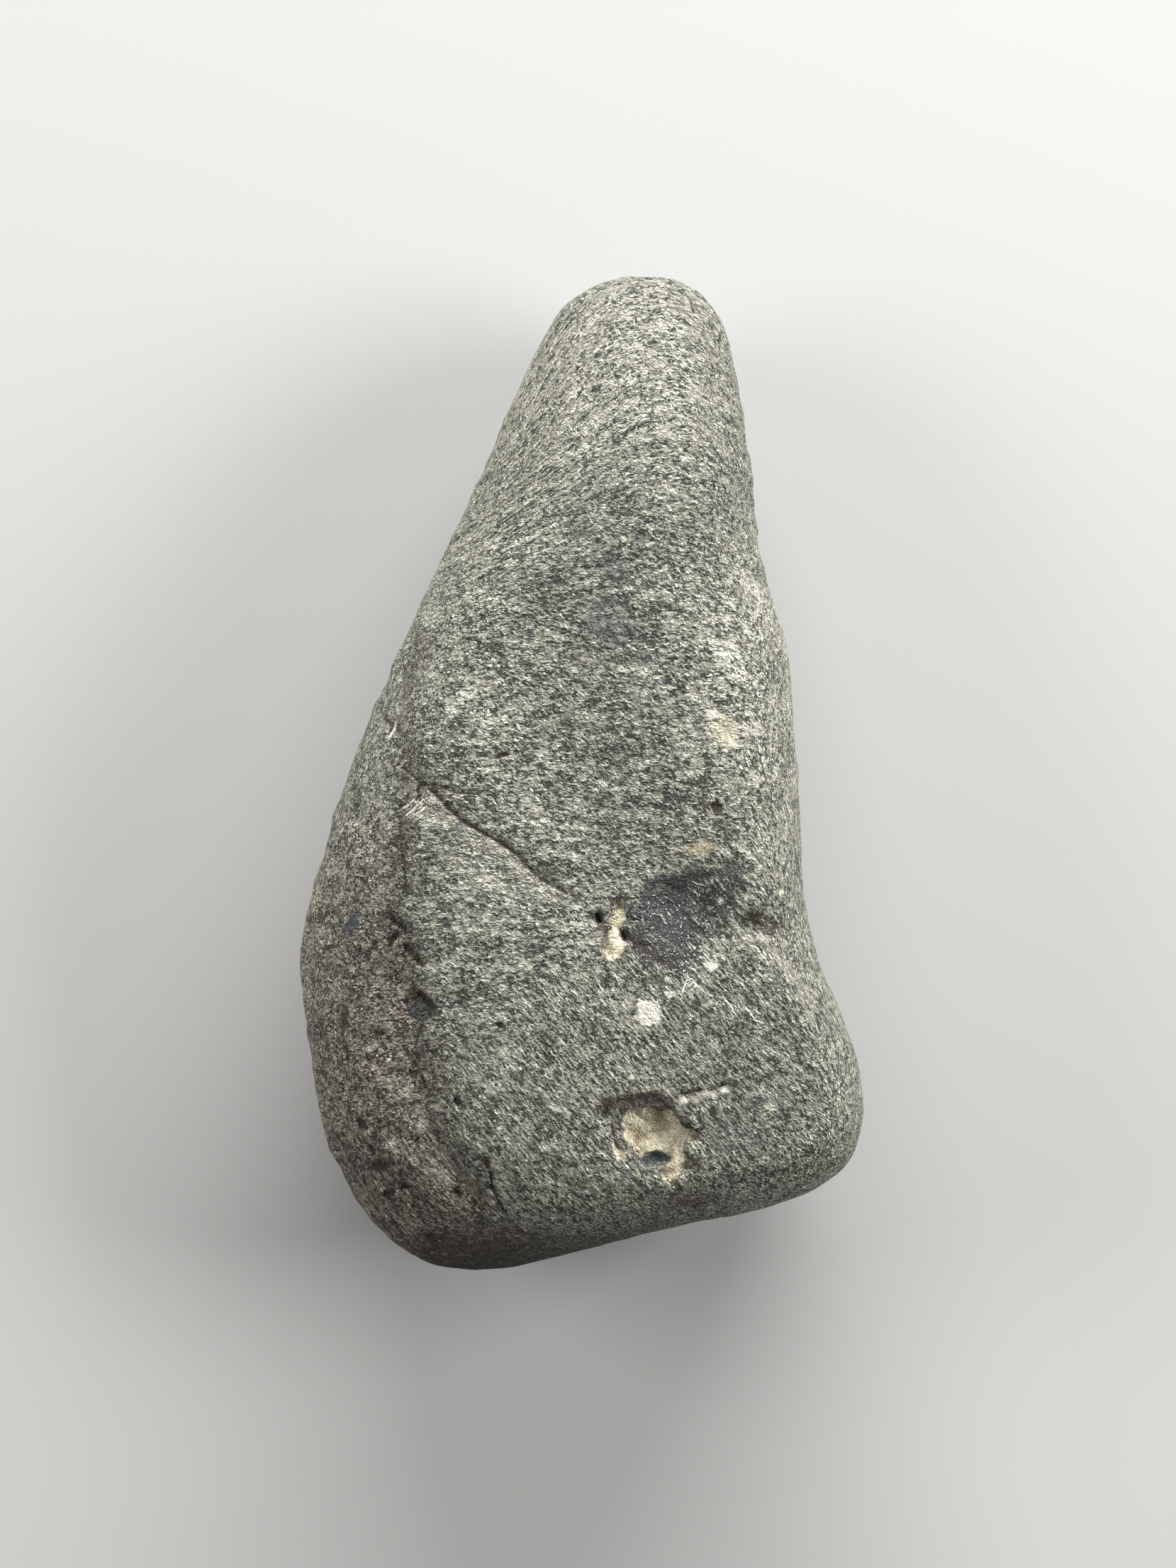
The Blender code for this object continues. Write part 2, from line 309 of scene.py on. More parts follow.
def inside(xy, loop):
    """How far inside a closed loop each point is, in metres, negative outside.

    The distance is the least of those to the loop's sides. A point is inside if a ray from
    it crosses the loop an odd number of times.
    """
    nearest = np.full(len(xy), np.inf)
    odd = np.zeros(len(xy), bool)
    for start, end in zip(loop, np.roll(loop, -1, 0)):
        along = end - start
        off = xy - start
        t = np.clip(off @ along / (along @ along), 0, 1)
        nearest = np.minimum(nearest, np.linalg.norm(off - t[:, None] * along, axis=1))
        spans = (start[1] > xy[:, 1]) != (end[1] > xy[:, 1])
        level = (xy[:, 1] - start[1]) / np.where(spans, end[1] - start[1], 1)
        odd ^= spans & (xy[:, 0] < start[0] + level * along[0])
    return np.where(odd, nearest, -nearest)


print("marks with an area:", ", ".join(LOOPS_PX))

# %% [markdown]
# Cracks, steps and the ridge on the left are lines. A line becomes a field too: how far to
# its left a point is, with how far along it the point lies, so that a mark can taper to its
# ends. The slits and scratches are too many to name, so each of the two kinds shares one
# field, that of the nearest mark, and the mark's half width there.

# %% Marks along lines
LINES_PX = {
    "crack": [
        (563, 1078), (575, 1087), (590, 1100), (605, 1111), (622, 1128), (640, 1147), (665, 1165),
        (700, 1185), (727, 1204), (752, 1230), (775, 1247), (803, 1261), (820, 1270),
    ],
    "branch": [(598, 1106), (615, 1108), (630, 1112), (645, 1118), (668, 1119), (690, 1114)],
    "streak": [(888, 1324), (905, 1334), (921, 1346), (935, 1357), (948, 1367)],
    "overhang": [
        (824, 1572), (845, 1563), (867, 1553), (890, 1547), (915, 1548), (939, 1553), (962, 1560),
    ],
    "lip": [
        (1030, 1283), (1036, 1300), (1048, 1314), (1062, 1320), (1080, 1323), (1102, 1350),
        (1125, 1373), (1139, 1398), (1150, 1430),
    ],
    "shadow under the overhang": [
        (828, 1570), (850, 1560), (870, 1553), (890, 1549), (920, 1550), (955, 1558),
    ],
    "scar's wall": [(900, 1254), (930, 1243), (955, 1239), (985, 1236), (1012, 1229), (1050, 1222)],
    "ridge": [
        (606, 880), (588, 960), (574, 1040), (588, 1108), (572, 1190), (556, 1272), (574, 1350),
        (598, 1427), (606, 1510), (636, 1600), (668, 1660), (712, 1716),
    ],
}
LINE_TAPER = 1.2 * MM  # how far from its ends a line comes to its full effect
SLITS_PX = [  # half the width, and the points of the line
    (2.8, *LINES_PX["crack"]), (2.0, *LINES_PX["branch"]), (4.0, *LINES_PX["streak"]),
    (1.4, (862, 1578), (864, 1598), (873, 1624)), (7.5, (1005, 1132), (1011, 1139), (1017, 1146)),
    (1.9, (566, 1130), (564, 1165), (568, 1200), (572, 1235), (570, 1262)),
    (3.0, (592, 1106), (590, 1120), (591, 1136)), (2.2, (697, 1070), (709, 1065), (720, 1063)),
    (3.0, (540, 1006), (547, 1016), (556, 1027)), (2.8, (495, 1208), (494, 1225), (496, 1242)),
    (5.0, (550, 1294), (562, 1305), (576, 1319)), (4.0, (562, 1314), (554, 1327), (547, 1337)),
    (6.0, (571, 1332), (584, 1348), (597, 1362)), (2.6, (552, 1188), (557, 1193), (563, 1196)),
    # the left pit's dark crescent: painted shadow on its wall that faces away from the light
    (6.0, (588, 1400), (600, 1409), (608, 1421), (606, 1437)),
    (1.6, (598, 1442), (592, 1459), (586, 1476)),
    (5.5, (487, 1427), (486, 1442), (483, 1458)), (3.0, (490, 1478), (489, 1492), (491, 1503)),
    (1.6, (578, 1488), (590, 1510), (601, 1536)), (6.0, (505, 1577), (512, 1586), (521, 1594)),
    (4.5, (516, 1612), (526, 1620), (531, 1630)), (6.0, (527, 1640), (536, 1646), (547, 1648)),
    (5.0, (541, 1681), (549, 1683), (557, 1680)), (3.5, (566, 1676), (574, 1674), (582, 1677)),
    (4.0, (638, 1676), (645, 1681), (653, 1684)), (3.2, (683, 1630), (687, 1638), (690, 1648)),
    (5.0, (602, 1741), (612, 1745), (624, 1747)), (4.0, (700, 1442), (705, 1446), (709, 1449)),
    (2.4, (665, 1625), (690, 1650), (696, 1680), (716, 1712)),
    (4.0, (642, 1548), (645, 1555), (650, 1561)), (1.8, (958, 1543), (975, 1541), (990, 1536)),
    (1.6, (1000, 1538), (1012, 1534), (1023, 1529)),
    (2.2, (1050, 1296), (1068, 1302), (1086, 1312)), (2.0, (1058, 1288), (1078, 1296), (1098, 1306)),
]
SCRATCHES_PX = [
    (1.0, (1048, 1419), (1058, 1428), (1066, 1439), (1078, 1443)),
    (0.9, (970, 1379), (966, 1391), (962, 1402)),
    (0.9, (974, 1378), (984, 1391), (995, 1402)), (1.2, (570, 1152), (583, 1142), (597, 1128)),
    (0.8, (579, 1156), (590, 1146), (602, 1137)), (0.9, (564, 1142), (578, 1134), (590, 1121)),
    (1.2, (548, 1046), (553, 1032), (558, 1019)), (0.8, (1018, 1406), (1030, 1418), (1038, 1432)),
    (0.9, (932, 1290), (936, 1296), (939, 1302)), (0.8, (976, 1244), (984, 1247), (993, 1249)),
]
POINTS_PER_STRETCH = 8


def rounded_line(points):
    """The line with its corners rounded: POINTS_PER_STRETCH points for each of its stretches.

    Each stretch is a cubic, and its slope at a point is half the way from the point before
    to the point after.
    """
    longer = np.vstack([2 * points[0] - points[1], points, 2 * points[-1] - points[-2]])
    slope = (longer[2:] - longer[:-2]) / 2
    ends = (a[:, None, :] for a in (points[:-1], points[1:], slope[:-1], slope[1:]))
    curve = cubic(*ends, (np.arange(POINTS_PER_STRETCH) / POINTS_PER_STRETCH)[None, :, None])
    return np.vstack([curve.reshape(-1, 2), points[-1]])


def beside(xy, line):
    """(how far to the left of a line each point is, how far along it, the line's length).

    All three are in metres, and the first is negative to the right of the line.
    """
    nearest = np.full(len(xy), np.inf)
    side = np.ones(len(xy))
    place = np.zeros(len(xy))
    run = 0.0
    for start, end in zip(line[:-1], line[1:]):
        along = end - start
        length = np.linalg.norm(along)
        off = xy - start
        t = np.clip(off @ along / length**2, 0, 1)
        far = np.linalg.norm(off - t[:, None] * along, axis=1)
        closer = far < nearest
        side = np.where(closer, np.sign(along[0] * off[:, 1] - along[1] * off[:, 0]), side)
        place = np.where(closer, run + t * length, place)
        nearest = np.minimum(nearest, far)
        run += length
    return side * nearest, place, run


def nearest_mark(xy, marks):
    """(how far to the left of the nearest mark's line, half the mark's width there), in metres.

    A mark narrows to its ends as an ellipse does: its half width is w sqrt(1 - (2 t - 1)^2),
    where t is the share of the way along it.
    """
    side = np.full(len(xy), np.inf)
    half = np.zeros(len(xy))
    for half_px, *line in marks:
        here, place, length = beside(xy, rounded_line(seen_at(line)))
        closer = abs(here) < abs(side)
        narrowed = half_px * PIXEL * np.sqrt(1 - (2 * place / length - 1) ** 2)
        half = np.where(closer, narrowed, half)
        side = np.where(closer, here, side)
    return side, half


print("lines:", ", ".join(LINES_PX), "and", len(SLITS_PX), "slits and", len(SCRATCHES_PX), "scratches")

# %% [markdown]
# The skin is stained in places: brown where dirt sits in the seams, blue-grey where it
# broke later, straw yellow, pale and dark. Some of these are painted light and shade
# instead: brown and straw painted shadow under the overhang and in the large pit, brown
# painted shade and a warm painted reflection along the base and left of the ridge, the
# dark, which is all painted shadow, under the scar's wall and in the pits, pale painted
# light beside the crack and the lip, and white painted light in the large pit with a
# painted glint on a small hole. Such marks have no edge of their own, so each is a soft
# oval with a strength, or a soft band beside one of the lines. Broad painted light and
# shade, which make whole regions lighter or darker, are ovals as well and multiply each
# other.

# %% Stains, painted light and shade
STAINS_AND_PAINTED_LIGHT_PX = {  # middle, half its size across and along, turn in degrees, strength
    # brown: dirt in the seams, but the ovals round the overhang and across the large pit are painted shadow,
    # and those along the base and on the left painted shade with a warm painted reflection
    "brown_and_painted_shade": [
        (530, 1172, 7, 9, 0, 0.5), (582, 1250, 20, 16, 20, 0.4), (605, 1508, 8, 6, 0, 0.8),
        (512, 1586, 13, 13, 0, 0.7), (536, 1636, 15, 15, 0, 0.6), (550, 1681, 12, 9, 0, 0.6),
        (646, 1680, 12, 9, 0, 0.6), (612, 1744, 17, 9, -10, 0.6), (622, 1622, 22, 20, 0, 0.5),
        (849, 1312, 9, 26, 0, 0.45), (842, 1295, 9, 11, 0, 0.8), (881, 1318, 10, 14, 30, 0.6),
        (918, 1549, 50, 18, -3, 0.75), (1075, 1300, 40, 18, -35, 0.55), (820, 935, 18, 9, 20, 0.5),
        (968, 1694, 66, 24, 8, 0.8), (640, 1775, 160, 60, 0, 1.0), (850, 1775, 220, 46, 10, 0.9),
        (866, 1590, 6, 26, 12, 0.5), (700, 1066, 16, 5, 10, 0.4), (560, 1350, 60, 90, 10, 0.2),
        (927, 1581, 38, 12, -34, 0.5), (690, 1750, 130, 40, 0, 0.9),
    ],
    "blue": [
        (497, 1300, 16, 30, 0, 1.0), (474, 1282, 9, 10, 0, 0.6), (475, 1250, 6, 9, 0, 0.5),
        (647, 1265, 12, 8, 0, 0.6), (627, 1300, 10, 9, 0, 0.5), (592, 1424, 22, 34, -6, 0.85),
        (593, 1462, 11, 26, -8, 0.7), (650, 1551, 8, 12, 0, 0.8), (1037, 1600, 54, 46, 0, 0.5),
        (1066, 1556, 26, 18, 0, 0.6), (880, 1652, 34, 13, -32, 0.4), (858, 880, 40, 60, 10, 0.55),
        (910, 928, 28, 14, 0, 0.6), (862, 805, 22, 26, 0, 0.5), (748, 892, 12, 20, 0, 0.5),
        (984, 1030, 14, 26, 0, 0.5), (1045, 740, 16, 14, 0, 0.4), (905, 760, 18, 14, 0, 0.45),
        (940, 1290, 62, 66, 0, 0.6),
    ],
    # pale: pale lumps and spots, and painted light on the flank below the crack, which faces the light
    "pale": [
        (640, 1210, 46, 22, -35, 0.25), (625, 1661, 14, 10, 0, 0.5), (595, 1590, 11, 9, 0, 0.5),
        (590, 1565, 10, 9, 0, 0.45), (570, 1404, 14, 10, 0, 0.5), (1077, 1326, 17, 10, -20, 0.35),
        (653, 1547, 4, 5, 0, 0.7), (846, 1325, 14, 22, 0, 0.35), (700, 1250, 70, 26, -30, 0.18),
    ],
    # straw: a yellow smear, and across the large pit painted shade under the overhang
    "straw_and_painted_shade": [(988, 1196, 32, 14, 12, 0.9), (924, 1577, 34, 13, -32, 0.8), (908, 1606, 9, 16, 0, 0.4)],
    # painted shadow: under the scar's wall, in a hole of the middle pit and low in the large pit
    "painted_shadow": [
        (962, 1243, 40, 20, 6, 1.4), (883, 1326, 7, 5, -20, 0.6), (1028, 1226, 34, 13, 8, 0.7),
        (953, 1652, 16, 16, 0, 0.2),
    ],
    # white: white knobs and spots, and painted light in the right of the large pit, where its wall shades
    # it, with a painted glint on the small hole
    "white": [
        (963, 1555, 11, 9, 0, 1.0), (979, 1553, 12, 9, 0, 1.0), (993, 1547, 11, 8, 15, 0.9),
        (1006, 1547, 10, 8, 0, 0.9), (1022, 1541, 12, 10, 30, 0.9), (1085, 1561, 11, 13, 30, 1.0),
        (961, 1603, 13, 9, 20, 0.6), (1031, 1050, 9, 12, 20, 0.8),
        (1017, 1273, 7, 8, 0, 0.7), (1053, 1266, 7, 7, 0, 0.6), (1101, 1261, 6, 8, 0, 0.7),
        (600, 1518, 10, 9, 0, 0.6), (1000, 1418, 14, 8, 30, 0.5), (1017, 1131, 5, 5, 0, 1.0),
        (890, 1522, 6, 5, 0, 0.7), (975, 1602, 11, 7, -20, 0.8), (1004, 1009, 12, 12, 0, 1.0),
    ],
}
FULL_FROM = 0.8  # how far in from its edge a soft oval is full
BANDS = {  # its stain, the band's middle beside the line and half its width in mm, its strength
    # The bands under the overhang and along the scar's wall are painted shadow, the pale ones beside the
    # crack and the lip painted light on flanks that face the light, and the brown one left of the ridge
    # painted shade with a warm painted reflection.
    "shadow under the overhang": ("brown_and_painted_shade", 0, 0.44, 0.75),
    "scar's wall": ("painted_shadow", 0, 0.28, 0.8),
    "crack": ("pale", -0.60, 0.40, 0.25),
    "lip": ("pale", -0.20, 0.22, 0.25),
    "ridge": ("brown_and_painted_shade", -0.30, 0.50, 0.38),
}
# painted light and shade: the tip, the upper left and the right rim and corner lighter where light falls on
# them, the middle of the face, the left and the edge of the base darker where shade falls
PAINTED_LIGHT_AND_SHADE_PX = {  # middle, half its size across and along, turn, how much lighter or darker
    "tip": (890, 500, 300, 300, 0, 0.38),
    "upper left": (700, 700, 130, 300, -24, 0.50),
    "middle of the face": (850, 890, 165, 480, 6, -0.28),
    "above the scar": (940, 1170, 200, 190, 0, -0.14),
    "right rim": (1100, 900, 130, 440, 0, 0.28),
    "left of the ridge": (590, 1180, 80, 170, -10, -0.08),
    "left below": (530, 1600, 120, 220, 10, -0.20),
    "above the large pit": (1050, 1480, 200, 140, 0, -0.18),
    "edge of the base": (760, 1800, 400, 86, 8, -0.66),
    "right corner": (1160, 1570, 90, 130, 0, 0.16),
}


def oval(off, half, turn):
    """(1 in an oval's middle and 0 on its edge, how far towards its upper end), by offset."""
    angle = math.radians(turn)
    across = off @ (math.cos(angle), math.sin(angle)) / half[0]
    along = off @ (-math.sin(angle), math.cos(angle)) / half[1]
    return 1 - np.hypot(across, along), along


def soft_oval(xy, x, y, across, along, turn):
    """1 in the middle of an oval of the picture, and none from its edge outwards."""
    inwards, _ = oval((xy - seen_at((x, y))) / PIXEL, (across, along), turn)
    return eased(0, FULL_FROM, inwards)


def stain_and_painted_light(xy, fields, kind):
    """How much each point has of a stain, painted light and shade included: the most that an oval or a band
    gives it.
    """
    parts = [strength * soft_oval(xy, *shape) for *shape, strength in STAINS_AND_PAINTED_LIGHT_PX[kind]]
    for line, (band_kind, middle, half, strength) in BANDS.items():
        if band_kind == kind:
            off = (fields[line] / MM - middle) / half
            parts.append(strength * fields[line + " taper"] * np.exp(-(off**2)))
    return np.max(parts, axis=0)


def painted_light_and_shade(xy):
    """Painted light and shade, which the colour is multiplied by: the product of 1 + change over all its
    ovals.
    """
    return np.prod([1 + change * soft_oval(xy, *shape) for *shape, change in PAINTED_LIGHT_AND_SHADE_PX.values()], axis=0)


def mark_fields(xy):
    """Every field at the given points, by name."""
    fields = {name: inside(xy, seen_at(loop)) for name, loop in LOOPS_PX.items()}
    for name, line in LINES_PX.items():
        fields[name], place, length = beside(xy, rounded_line(seen_at(line)))
        fields[name + " taper"] = eased(0, LINE_TAPER, np.minimum(place, length - place))
    fields["slit side"], fields["slit half"] = nearest_mark(xy, SLITS_PX)
    fields["scratch side"], fields["scratch half"] = nearest_mark(xy, SCRATCHES_PX)
    for kind in STAINS_AND_PAINTED_LIGHT_PX:
        fields[kind] = stain_and_painted_light(xy, fields, kind)
    fields["painted_light_and_shade"] = painted_light_and_shade(xy)
    return fields


print("stains:", {kind: len(ovals) for kind, ovals in STAINS_AND_PAINTED_LIGHT_PX.items()})

# %% [markdown]
# No worn stone is smooth. Between its facets it is faintly lumpy, it is pocked with small
# holes where grains fell out, and its pits have rough floors. This unevenness is random,
# and the usual way to get it is a noise of random numbers on a lattice, eased between its
# corners. It is worked out here with a fixed seed, so that the stone comes out the same
# every time, and it moves the mesh itself, so that it shows in the silhouette too.

# %% Unevenness
LATTICE = 64
SEEDS = {"lumps": 0, "pocks": 5, "knobs": 10, "pit floors": 20, "ripples": 30, "step edges": 40}


def lattice_noise(points, cell, seed):
    """Smooth random values from -1 to 1 that change over about one cell's length.

    Each corner of a cubic lattice holds a random number, and a point has the mean of its
    cell's eight corners, weighted by how near they are, with the way between them eased.
    """
    numbers = np.random.default_rng(seed).uniform(-1, 1, (LATTICE,) * 3)
    corner = np.floor(points / cell).astype(int)
    t = eased(0, 1, points / cell - corner)
    total = np.zeros(points.shape[:-1])
    for step in np.ndindex(2, 2, 2):
        weight = np.prod(np.where(step, t, 1 - t), axis=-1)
        total += weight * numbers[tuple(np.moveaxis((corner + step) % LATTICE, -1, 0))]
    return total


def unevenness(points, layers, seed):
    """The sum of noises given by size and height in mm, with seeds from the given one on."""
    seeded = enumerate(layers, seed)
    return MM * sum(high * lattice_noise(points, size * MM, k) for k, (size, high) in seeded)


test_noise = lattice_noise(np.linspace([0, 0, 0], [25, 0, 0], 500), 1, 1)
print("noise runs from", round(test_noise.min(), 2), "to", round(test_noise.max(), 2))

# %% [markdown]
# The face's hollows come in three kinds. Broad ones, such as the old scar and the waist,
# are shallow bowls. The pits are cut along their loops, with walls about a quarter of a
# millimetre wide and rough floors. The crack lies in a valley with one steep and one
# gentle side, and low steps run along the overhang above the large pit, the lip beside
# the scar and the ridge on the left. All are one depth over the plan, taken off the face.

# %% How deep the marks go
BOWLS = {  # middle in shares, half its sizes and depth in mm, turn, uprightness, lean upwards
    "old scar": ((0.185, -0.150), (4.4, 3.4), 0.50, 4, 1.2, 0.25),
    "waist": ((0.376, -0.174), (4.2, 2.6), 0.55, -32, 1.0, 0.4),
    "round the large pit": ((0.131, -0.360), (2.9, 2.5), 0.35, -20, 1.2, 0.2),
}
PITS = {  # depth of the floor under the face, and of its roughness, in mm
    "large pit": (0.38, 0.16),
    "large pit's shard": (0.14, 0.06),
    "large pit's hole": (0.50, 0.05),
    "middle pit": (0.28, 0.15),
    "middle pit's left hole": (0.40, 0.05),
    "middle pit's right hole": (0.42, 0.05),
    "upper pit": (0.10, 0.06),
    "left pit": (0.16, 0.06),
}
STEPS = {  # in mm: the drop, half the step's width, how far it runs out; and the lower side
    "overhang": (0.28, 0.22, 4.0, -1),
    "lip": (0.26, 0.14, 2.0, 1),
    "ridge": (0.32, 0.90, 4.5, -1),
}
WALL = 0.28 * MM  # how wide a pit's wall is, seen from above
PIT_EDGE = [(0.5, 0.10)]  # size of the raggedness and how far it moves the edge, in mm
STEP_EDGE = [(0.7, 0.14)]
FLOOR_BUMP_SIZE = 0.45  # in mm
CRACK_VALLEY = 0.13 * MM
CRACK_STEEP_SIDE = 0.7 * MM
CRACK_GENTLE_SIDE = 2.0 * MM
SLIT_DEPTH = 0.16 * MM
SLIT_WALL = 0.20 * MM


def bowl(xy, at, half, depth, turn, uprightness, lean):
    """Depth of a broad hollow: full at its middle, and none from its oval edge outwards."""
    inwards, along = oval((xy - plan(at)) / MM, half, turn)
    return depth * MM * eased(0, 1 / uprightness, inwards) * (1 + lean * along)


def marks_depth(xy, fields):
    """How far all the marks lie under the worn face."""
    depth = sum(bowl(xy, *shape) for shape in BOWLS.values())
    floor = np.zeros(len(xy))
    flat_points = np.column_stack([xy, np.zeros(len(xy))])
    for seed, (name, (deep, rough)) in enumerate(PITS.items()):
        cut = eased(-WALL / 2, WALL / 2, fields[name] + unevenness(flat_points, PIT_EDGE, seed))
        bumps = unevenness(flat_points, [(FLOOR_BUMP_SIZE, rough)], SEEDS["pit floors"] + seed)
        floor = np.maximum(floor, cut * (deep * MM + bumps))
    ragged = unevenness(flat_points, STEP_EDGE, SEEDS["step edges"])
    for name, (drop, half, run_out, lower_side) in STEPS.items():
        step = eased(-half * MM, half * MM, lower_side * fields[name] + ragged)
        off = fields[name] / MM / run_out
        depth += drop * MM * step * fields[name + " taper"] * np.exp(-(off**2))
    side = fields["crack"]
    reach = np.where(side > 0, CRACK_STEEP_SIDE, CRACK_GENTLE_SIDE)
    valley = CRACK_VALLEY * fields["crack taper"] * np.exp(-((side / reach) ** 2))
    slits = SLIT_DEPTH * eased(-SLIT_WALL / 2, SLIT_WALL / 2, fields["slit half"] - abs(fields["slit side"]))
    return depth + floor + valley + slits


# %% [markdown]
# The surface has two sheets. The upper one is a grid of rows and columns: its border is
# the outline, and each smaller rectangle of the grid is the outline shrunk towards the
# crown, so no cell is pinched as it would be at the pole of a globe. The lower one goes
# on from the same border in rings that shrink to the flat on which the stone lies.

# %% The two sheets
ACROSS_CELLS = 220
ALONG_CELLS = 340
BELLY_RINGS = 20
CROWDING = 0.25  # of the upper rings towards the rim, where 0 is even
BELLY_CROWDING = 2.0  # of the belly's, where 1 is even
FADED_AT = 0.6  # of the rings, counted from the rim


def border_cells():
    """(row, column) of the grid's border vertices, clockwise from the middle of the tip.

    n counts them from the tip's left corner. The column climbs, waits while the row falls,
    and falls back, and the row climbs again at the end.
    """
    tip, right = ALONG_CELLS, ACROSS_CELLS
    n = np.roll(np.arange(2 * (tip + right)), -(right // 2))
    column = np.clip(np.minimum(n, 2 * right + tip - n), 0, right)
    row = np.clip(np.maximum(right + tip - n, n - 2 * right - tip), 0, tip)
    return np.column_stack([row, column])


def steps_round_border(row, column):
    """How many cells round the border a point on it is, counted as border_cells counts."""
    tip, right, middle = ALONG_CELLS, ACROSS_CELLS, ACROSS_CELLS // 2
    corner = right - middle
    sides = [np.isclose(row, tip), np.isclose(column, right), np.isclose(row, 0)]
    counts = [column - middle, corner + tip - row, corner + tip + right - column]
    around = np.select(sides, counts, corner + tip + right + row)
    return np.mod(around, 2 * (tip + right))


def read_round(values, steps):
    """Values listed round the border, read at any number of steps along it."""
    closed = np.append(values, values[0])
    return np.interp(steps, np.arange(len(closed)), closed)


def upper_sheet(loop):
    """Points of the upper sheet, row by row, from its two parameters u and v, -1 to 1.

    The greater of |u| and |v| says which ring a point is on, and so how far it is from
    the crown towards the rim. Where the ring's corner lies on the border gives the point
    of the rim. Its height is the rim's, plus the way up to the worn face times the
    quarter round, and its highest point is brought to the stone's thickness.
    """
    half = np.array([ALONG_CELLS, ACROSS_CELLS]) / 2
    row, column = np.mgrid[0 : ALONG_CELLS + 1, 0 : ACROSS_CELLS + 1]
    v, u = (row / half[0] - 1).ravel(), (column / half[1] - 1).ravel()
    ring = np.maximum(abs(u), abs(v))
    outwards = np.where(ring == 0, 1, ring)
    steps = steps_round_border((v / outwards + 1) * half[0], (u / outwards + 1) * half[1])
    share = ring * (1 + CROWDING * (1 - ring))
    rim_point = np.column_stack([read_round(loop[:, 0], steps), read_round(loop[:, 1], steps)])
    xy = plan(CROWN) + share[:, None] * (rim_point - plan(CROWN))

    rim, width = (read_round(values, steps) for values in rim_of(loop))
    rounded = quarter_round((1 - share) * read_round(way_in(loop), steps), width)
    unmarked = rim + (worn_face(xy) - rim) * rounded
    fields = mark_fields(in_sight(xy, unmarked))
    height = unmarked - marks_depth(xy, fields) * rounded
    height += (THICKNESS - height.max()) * rounded
    return np.column_stack([xy, height]), fields


def belly_rings(loop):
    """Points of the belly, ring by ring from the rim to the flat, which is at height 0.

    s falls from 1 at the rim to 0 at the flat. The height is BELLY_RISE times s squared,
    rounded up to the rim by the quarter round, and the last point is the flat's middle.
    """
    flat = REST_LENGTH / LENGTH
    rim, _ = rim_of(loop)
    rings = []
    for k in range(1, BELLY_RINGS + 1):
        s = 1 - (k / BELLY_RINGS) ** BELLY_CROWDING
        share = flat + (1 - flat) * s
        rounded = quarter_round((1 - share) * way_in(loop), BELLY_ROUNDING * WIDTH)
        height = rim + (BELLY_RISE * s**2 - rim) * rounded
        xy = plan(CROWN) + share * (loop - plan(CROWN))
        rings.append(np.column_stack([xy, height if s > 0 else 0 * height]))
    return np.vstack(rings + [np.append(plan(CROWN), 0)])


def stone_faces(border):
    """The grid's squares, the squares between the rings, and the flat's triangles."""
    columns = ACROSS_CELLS + 1
    row, column = np.mgrid[0:ALONG_CELLS, 0:ACROSS_CELLS]
    corner = (row * columns + column).ravel()
    squares = np.column_stack([corner, corner + 1, corner + columns + 1, corner + columns])
    first = (ALONG_CELLS + 1) * columns
    rings = first + np.arange(BELLY_RINGS * len(border)).reshape(BELLY_RINGS, len(border))
    rings = np.vstack([border[:, 0] * columns + border[:, 1], rings])
    after = np.roll(rings, -1, 1)
    between = np.stack([rings[:-1], after[:-1], after[1:], rings[1:]], -1).reshape(-1, 4)
    pole = np.full(len(border), first + BELLY_RINGS * len(border))
    fan = np.column_stack([rings[-1], after[-1], pole])
    return squares.tolist() + between.tolist() + fan.tolist()


def down_the_belly(upper_values, below=None):
    """Values of the upper sheet, with those of the rim carried on down the belly.

    If one below is given, they ease from the rim's to that one by FADED_AT of the rings.
    """
    at_rim = upper_values[border[:, 0] * (ACROSS_CELLS + 1) + border[:, 1]]
    end = at_rim if below is None else below
    down = np.arange(1, BELLY_RINGS + 1)[:, None] / BELLY_RINGS
    rings = end + (at_rim - end) * eased(FADED_AT, 0, down)
    return np.concatenate([upper_values, rings.ravel(), rings[-1, :1]])


border = border_cells()
loop = outline(len(border))
upper_points, fields = upper_sheet(loop)
base_points = np.vstack([upper_points, belly_rings(loop)])
mesh = bpy.data.meshes.new("worn_stone")
mesh.from_pydata(base_points, [], stone_faces(border))
print("points:", len(base_points), "faces:", len(mesh.polygons))

# %% [markdown]
# The last touch to the form is laid on along the normals, all round the stone: broad
# lumps, finer ones, and the pocks. Left of the ridge the stone is knobblier, and round the
# tip low ripples run in arcs. A noise gives arcs if its points are bent and squeezed first:
# y gets the square of the way off the tip's middle, and lengths across count for less.
# The flat is spared, so that the stone lies still.

# %% Lumps, knobs, ripples and pocks
LUMPS = [(6.0, 0.14), (2.2, 0.055), (0.9, 0.036), (0.5, 0.016)]  # size and height, in mm
KNOBS = [(1.3, 0.12), (0.6, 0.06)]
KNOBBLY = (0.4, -0.8)  # how far right of the ridge the knobs start, and are full, in mm
TIP_MIDDLE = 5.2  # how far to the right the arcs of the tip have their top, in mm
ARCH = 0.12  # how fast the arcs fall away to both sides, per mm
ARCHED = (6, 24)  # from this far up from the stone's middle, and fully from there, in mm
RIPPLED = (6, 16)
RIPPLE_LENGTH = 3.4  # in mm, as are the next two
RIPPLE_SPACING = 0.70
RIPPLE_HEIGHT = 0.13
POCKS = 200
POCK_RADIUS = (0.16 * MM, 0.50 * MM)
POCK_SHRINKING = (0.4, 1)
POCK_DEPTH = 0.25  # of its radius
SPARED = (0.1 * MM, 1.2 * MM)  # no relief up to this height, and all from there


